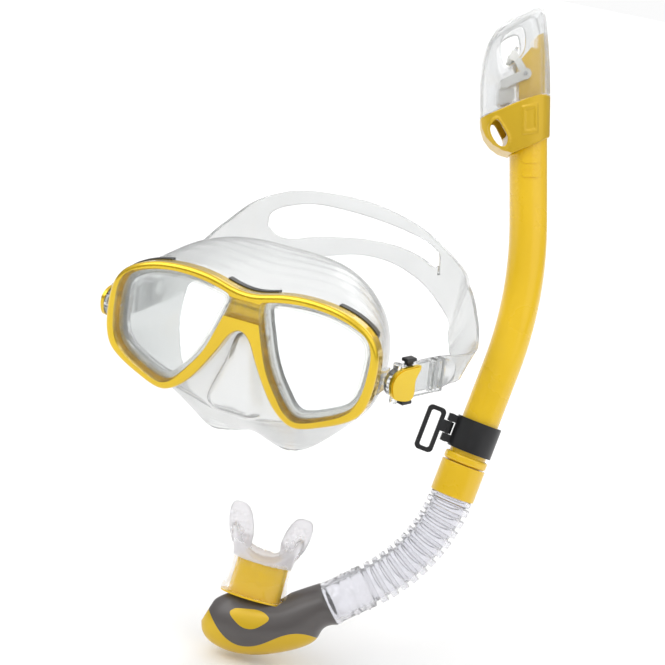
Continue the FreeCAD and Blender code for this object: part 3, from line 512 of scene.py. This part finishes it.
# ---------------------------------------------------------------------------------- hose
HOSE_BEND_R, HOSE_ANGLE = 104.0, 43.7
HOSE_ARC = HOSE_BEND_R * math.radians(HOSE_ANGLE)
SLEEVE_BOTTOM = -39.5
RIBS = 11
HOSE_BORE, CUFF_BORE, WAIST_MOST = 9.6, 10.6, 12
# one fin: (place as a share of the pitch, radius)
FIN = [(-0.5, 11.1), (-0.34, 11.15), (-0.31, 11.4), (-0.30, 13.2), (-0.28, 13.8), (-0.22, 14.0),
       (0.22, 14.0), (0.28, 13.8), (0.30, 13.2), (0.31, 11.4), (0.34, 11.15)]
# cuffs: (distance along the hose from the sleeve, or from the end of the bend, radius)
UPPER_CUFF = [(0.2, 12.2), (0.6, 13.2), (1.2, 13.4), (3.0, 13.4), (3.5, 13.0), (3.7, 11.6)]
LOWER_CUFF = [(-0.4, 11.3), (0.1, 12.8), (0.6, 13.8), (1.4, 14.0), (4.6, 13.8), (5.0, 14.3), (5.8, 14.3),
              (6.2, 13.7), (12.4, 13.7), (12.8, 14.2), (13.6, 14.2), (14, 13.7), (24, 13.7), (25, 14.1),
              (27.2, 14.1), (27.7, 13.9)]


def hose_frame(s):
    """Centre and direction at s millimetres along the hose from the sleeve."""
    start = (SLEEVE_BOTTOM * math.sin(LEAN), SLEEVE_BOTTOM * math.cos(LEAN))
    centre = (start[0] - HOSE_BEND_R * math.cos(LEAN), start[1] + HOSE_BEND_R * math.sin(LEAN))
    angle = LEAN + min(max(s / HOSE_BEND_R, 0.0), math.radians(HOSE_ANGLE))
    x = centre[0] + HOSE_BEND_R * math.cos(angle)
    y = centre[1] - HOSE_BEND_R * math.sin(angle)
    rest = s - min(max(s, 0.0), HOSE_ARC)
    dx, dy = -math.sin(angle), -math.cos(angle)
    return (x + dx * rest, y + dy * rest), (dx, dy)


def hose_profile():
    """(distance along, outer radius) of the corrugated hose and its cuffs."""
    pitch = HOSE_ARC / (RIBS + 0.75)
    out = list(UPPER_CUFF)
    for i in range(RIBS):
        for offset, radius in FIN:
            at = pitch * (i + 1.0) + offset * pitch
            if at > out[-1][0] + 0.02:
                out.append((at, radius))
    return out + [(HOSE_ARC + at, radius) for at, radius in LOWER_CUFF]


def hose_ring(s, radius, count=64):
    """Circle round the hose's line."""
    (x, y), (dx, dy) = hose_frame(s)
    ring = []
    for k in range(count):
        a = math.tau * k / count
        side, deep = radius * math.cos(a), radius * math.sin(a)
        ring.append(snorkel_point(x - dy * side, y + dx * side, deep))
    return ring


def add_hose():
    outer = hose_profile()
    inner = [(s, HOSE_BORE if r < WAIST_MOST else CUFF_BORE) for s, r in reversed(outer)]
    rings = [hose_ring(s, r) for s, r in outer + inner]
    rings.append(rings[0])
    hose = skin("corrugated_hose", rings, caps=False)
    show(hose, None, "silicone", "flex_hose", look="clear_hose")
    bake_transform(hose)


# --------------------------------------------------------------------------- mouthpiece
MOUTH_AT, MOUTH_LEAN = (-139.2, -99.5), math.radians(16)
LIP_SHIFT, LIP_SHIFT_FROM = 0.06, 10
LIPS = [(-1.0, 44.4, 25.2, 0), (1.5, 43.6, 24.8, 0), (6, 39.8, 22.6, 0), (13, 37.0, 20.8, 0),
        (17.5, 37.4, 20.9, 1.5), (20, 39.4, 22.4, 5), (21.8, 42, 24.6, 9), (23, 44.6, 27, 13),
        (24, 45.4, 28, 16), (24.8, 44.6, 27.4, 17), (25.2, 43, 26.4, 17.4)]
BORE = [(-4, 34.2, 18.2, 0), (17, 33.2, 17.2, 1), (20, 34.6, 18.4, 5), (22.4, 37, 21, 10),
        (25, 39.6, 23.6, 16), (31, 41, 25, 20)]
MOUTH_SQUARENESS, MOUTH_VOXEL = 0.85, 0.6
NECK_TOP = 21.5
# bite tab: (along, width, thickness)
TAB = [(24, 7, 5.0), (29, 12.5, 6.0), (36, 16.2, 6.6), (43, 16.6, 6.4), (49, 14.6, 5.6),
       (52.6, 11.4, 4.6), (54.4, 6.4, 3.2)]
TAB_AT, TAB_LEVEL, TAB_SPREAD, TAB_COUNT = 17.0, 36, 0.22, 28
BUMPS_ALONG, BUMPS_ACROSS = (34.0, 38.6, 43.2, 47.8), (-4.4, -0.4, 3.6)
BUMP_RADIUS, BUMP_DEPTH = 1.4, -2.8


def mouth_point(side, along, deep):
    """Millimetres across, up and into the mouthpiece to the row frame."""
    side -= LIP_SHIFT * max(0.0, along - LIP_SHIFT_FROM)
    x = MOUTH_AT[0] + side * math.cos(MOUTH_LEAN) + along * math.sin(MOUTH_LEAN)
    y = MOUTH_AT[1] - side * math.sin(MOUTH_LEAN) + along * math.cos(MOUTH_LEAN)
    return snorkel_point(x, y, -deep)


def mouth_form(name, stations, count=72):
    """Ovals (along, width, depth, sweep) up the mouthpiece; sweep lifts the two ends."""
    rings = []
    for along, width, depth, sweep in stations:
        ring = []
        for k in range(count):
            a = math.tau * k / count
            c, s = math.cos(a), math.sin(a)
            ring.append(mouth_point(width / 2 * math.copysign(abs(c) ** MOUTH_SQUARENESS, c),
                                    along + sweep * c * c,
                                    depth / 2 * math.copysign(abs(s) ** MOUTH_SQUARENESS, s)))
        rings.append(ring)
    return skin(name, rings)


def tab_middle(along):
    """How far a tab's middle lies from the mouthpiece's own."""
    return TAB_AT + (along - TAB_LEVEL) * TAB_SPREAD


def bump_at(centre):
    bpy.ops.mesh.primitive_uv_sphere_add(segments=16, ring_count=10, radius=BUMP_RADIUS * MM,
                                         location=centre)
    bump = bpy.context.object
    bump.data.transform(bump.matrix_world)
    bump.matrix_world = Matrix.Identity(4)
    return bump


def bite_tab(side):
    """Rounded tab with bumps on its inner face."""
    rings = []
    for along, wide, thick in TAB:
        ring = []
        for k in range(TAB_COUNT):
            a = math.tau * k / TAB_COUNT
            ring.append(mouth_point(side * tab_middle(along) + wide / 2 * math.cos(a), along,
                                    thick / 2 * math.sin(a)))
        rings.append(ring)
    tab = skin("tab_form", rings)
    for along in BUMPS_ALONG:
        for across in BUMPS_ACROSS:
            centre = mouth_point(side * tab_middle(along) + across, along, BUMP_DEPTH)
            combine(tab, bump_at(centre), "UNION")
    return tab


def add_mouthpiece():
    piece = mouth_form("lips", LIPS)
    combine(piece, mouth_form("bore", BORE), "DIFFERENCE")
    for side in (-1, 1):
        combine(piece, bite_tab(side), "UNION")
    soften(piece, MOUTH_VOXEL, 4)
    piece.name = "bite_piece"
    show(piece, "lower_chamber", "silicone", "mouthpiece", look="milky_silicone")
    colour_neck(piece)


def colour_neck(piece):
    """Clearer silicone below the lips, where the stub shows through."""
    piece.data.materials.append(MATERIALS["neck_silicone"])
    base = mouth_point(0, 0, 0)
    axis = (mouth_point(0, 5, 0) - base).normalized()
    for polygon in piece.data.polygons:
        along = (polygon.center - base).dot(axis)
        if along < NECK_TOP * MM:
            polygon.material_index = 1


# ------------------------------------------------------------------------------- dry top
BASE_OUTLINE = [(3.6, 201.2), (26.7, 210.5), (39.1, 214.9), (47.6, 215.2), (46.9, 189.2), (39.1, 185),
                (33.8, 182.6), (22.3, 178.1), (16.1, 179.9), (10.7, 183.5), (6.3, 188.8), (4.1, 195)]
CAP_OUTLINE = [(3.6, 201.2), (3.9, 223.4), (5.4, 236.7), (8, 247.6), (12.5, 255.3), (19.6, 261.2),
               (29.4, 267.2), (37, 271), (40.6, 270.8), (42.8, 268), (44.3, 261), (46, 247),
               (47.4, 229), (47.6, 215.2), (39.1, 214.9), (26.7, 210.5)]
PLAN = [(2.6, 0), (6.5, 8.6), (15, 12.8), (27, 14.5), (38, 13.6), (45, 8.8), (48.2, 0), (45, -8.8),
        (38, -13.6), (27, -14.5), (15, -12.8), (6.5, -8.6)]
INLET = [(13.4, 199), (16.6, 194.1), (19.4, 187.9), (18.2, 183), (14.6, 182.8), (10.9, 187.2),
         (8.9, 193), (10.2, 197.4)]
CAP_WINDOW = [(26.7, 256.4), (29.8, 253.5), (30, 244), (26.4, 237.6), (18.6, 232), (15.6, 239.3),
              (15.6, 247.6), (19.4, 252.6)]


CAP_INSIDE = [(5.6, 190), (5.7, 223), (7.3, 236.3), (9.8, 246.8), (13.8, 253.6), (20.6, 259.3),
              (30.2, 265.2), (37.2, 268.9), (39.6, 268.6), (41, 266.8), (42.5, 260), (44.2, 246),
              (45.6, 229), (45.8, 190)]
BASE_INSIDE = [(6.2, 203), (26, 213), (39, 220), (45, 220), (44.6, 197), (22, 191), (14, 187.5), (9, 192),
               (6.4, 197)]
RIB_OUTSIDE = [(28.5, 189.5), (28.5, 207.0), (38.2, 209), (38.2, 191)]
RIB_INSIDE = [(30.2, 191.8), (30.2, 205.2), (36.5, 206.7), (36.5, 192.9)]
INLET_MIDDLE, LIP_GROWTH = (14.2, 190.5), (0.28, 0.2)
HALF_DEPTH = 22
CAP_WALL, BASE_WALL, INTO_WALL = 1.8, 2.2, 1.0
BASE_FROM, BASE_TO = 170, 230
CAP_FROM, CAP_TO = 195, 280
STEM_AT, SOCKET_RADIUS, SOCKET_FROM, SOCKET_TO = 34.13, 11.95, 150, 212
TOP_VOXEL = 0.45


def slab(outline, w0=-HALF_DEPTH, w1=HALF_DEPTH, smooth=0):
    """Outline in the snorkel's plane, given depth."""
    ring = catmull(outline, smooth) if smooth else outline
    return skin("slab", [[snorkel_point(x, y, w) for x, y in ring] for w in (w0, w1)])


def plan_column(inset, y0, y1):
    """Dry top's plan, drawn in by inset, as a column up the snorkel."""
    ring = grown(catmull(PLAN, 10), -inset)
    return skin("column", [[snorkel_point(x, y, w) for x, w in ring] for y in (y0, y1)])


def shaped(outline, inset, y0, y1):
    """Where an outline and the plan's column meet."""
    return combine(slab(outline), plan_column(inset, y0, y1), "INTERSECT")


def add_cap():
    cap = shaped(CAP_OUTLINE, 0.0, CAP_FROM, CAP_TO)
    combine(cap, shaped(CAP_INSIDE, CAP_WALL, CAP_FROM - 15, CAP_TO), "DIFFERENCE")
    combine(cap, slab(CAP_WINDOW, smooth=8), "DIFFERENCE")
    soften(cap, TOP_VOXEL, 6)
    cap.name = "clear_cap"
    return show(cap, "barrel", "clear_plastic", "top_cap", look="clear_cap")


def raised(form, proud):
    """The part of a form that stands this much proud of the base's wall."""
    combine(form, plan_column(-proud, BASE_FROM, BASE_TO), "INTERSECT")
    return combine(form, plan_column(INTO_WALL, BASE_FROM, BASE_TO), "DIFFERENCE")


def inlet_lip():
    (mx, my), (gx, gy) = INLET_MIDDLE, LIP_GROWTH
    outline = [(x + (x - mx) * gx, y + (y - my) * gy) for x, y in INLET]
    return raised(slab(outline, smooth=8), 0.9)


def front_rib():
    """Rectangular rib on the front of the base."""
    rib = slab(RIB_OUTSIDE, 5, HALF_DEPTH)
    combine(rib, plan_column(-0.7, BASE_FROM, BASE_TO), "INTERSECT")
    combine(rib, slab(RIB_INSIDE, 4, HALF_DEPTH + 1), "DIFFERENCE")
    return combine(rib, plan_column(INTO_WALL, BASE_FROM, BASE_TO), "DIFFERENCE")


def tube_socket():
    ring = [(STEM_AT + SOCKET_RADIUS * math.cos(math.tau * k / 64),
             SOCKET_RADIUS * math.sin(math.tau * k / 64)) for k in range(64)]
    return skin("socket", [[snorkel_point(x, y, w) for x, w in ring] for y in (SOCKET_FROM, SOCKET_TO)])


def add_base():
    base = shaped(BASE_OUTLINE, 0.0, BASE_FROM, BASE_TO)
    combine(base, shaped(BASE_INSIDE, BASE_WALL, BASE_FROM, BASE_TO), "DIFFERENCE")
    combine(base, inlet_lip(), "UNION")
    combine(base, front_rib(), "UNION")
    combine(base, slab(INLET, smooth=8), "DIFFERENCE")
    combine(base, tube_socket(), "DIFFERENCE")
    soften(base, TOP_VOXEL, 5)
    base.name = "valve_base"
    return show(base, "barrel", "base_gold", "top_base")


# -------------------------------------------------------------------------------- studio
CAMERA_AT = (0.2643, -0.7882, 0.2070)
CAMERA_AXES = ((0.9263, 0.3235, 0.1935), (-0.2599, 0.1761, 0.9494), (0.2731, -0.9297, 0.2472))
CAMERA_LENS = 79.25
SKY_STRENGTH = 0.95
FLOOR_SIZE, FLOOR_GAP = 400, 0.004


def add_camera():
    data = bpy.data.cameras.new("camera")
    data.lens = CAMERA_LENS
    camera = bpy.data.objects.new("camera", data)
    bpy.context.scene.collection.objects.link(camera)
    right, up, back = (Vector(axis).normalized() for axis in CAMERA_AXES)
    turn = Matrix((right, up, back)).transposed().to_4x4()
    camera.matrix_world = Matrix.Translation(CAMERA_AT) @ turn
    bpy.context.scene.camera = camera


def add_sun(name, toward, power, spread):
    """Soft far light coming from the direction `toward`."""
    data = bpy.data.lights.new(name, "SUN")
    data.energy, data.angle = power, math.radians(spread)
    light = bpy.data.objects.new(name, data)
    bpy.context.scene.collection.objects.link(light)
    light.rotation_euler = Vector(toward).to_track_quat("Z", "Y").to_euler()


def add_surround():
    """White background for the camera, and a sky that darkens low down for everything else."""
    world = bpy.data.worlds.new("surround")
    world.use_nodes = True
    tree = world.node_tree
    background = tree.nodes["Background"]
    coords = tree.nodes.new("ShaderNodeTexCoord")
    split = tree.nodes.new("ShaderNodeSeparateXYZ")
    tree.links.new(coords.outputs["Generated"], split.inputs["Vector"])
    shade = ramp(tree, split.outputs["Z"], 0.25, 1.0, 0.1, 0.6)
    tree.links.new(shade, background.inputs["Color"])
    background.inputs["Strength"].default_value = SKY_STRENGTH
    plain = tree.nodes.new("ShaderNodeBackground")
    plain.inputs["Color"].default_value = (0.97, 0.97, 0.97, 1)
    mix = tree.nodes.new("ShaderNodeMixShader")
    tree.links.new(tree.nodes.new("ShaderNodeLightPath").outputs["Is Camera Ray"], mix.inputs["Fac"])
    tree.links.new(background.outputs["Background"], mix.inputs[1])
    tree.links.new(plain.outputs["Background"], mix.inputs[2])
    tree.links.new(mix.outputs["Shader"], tree.nodes["World Output"].inputs["Surface"])
    bpy.context.scene.world = world


def add_studio():
    """Pale floor under the set, white surround and three soft lights."""
    bpy.context.scene.view_settings.view_transform = "Standard"
    add_surround()
    low = CAD_BOX[0]
    bpy.ops.mesh.primitive_plane_add(size=FLOOR_SIZE, location=(0, 0, low[2] - FLOOR_GAP))
    floor = bpy.context.object
    floor.name = "floor"
    material = make_material("floor_paper", (0.9, 0.9, 0.9), (0.93, 0.93, 0.93), (0.8, 0.9), 3)
    floor.data.materials.append(material)
    add_sun("key", (-0.7, -0.8, 1.4), 1.0, 50)
    add_sun("fill", (1.2, -0.5, 0.9), 0.45, 60)
    add_sun("rim", (0.2, 1.2, 0.9), 0.5, 40)


dress_cad()
add_skirt()
add_strap()
add_hose()
add_mouthpiece()
add_cap()
add_base()
add_camera()
add_studio()
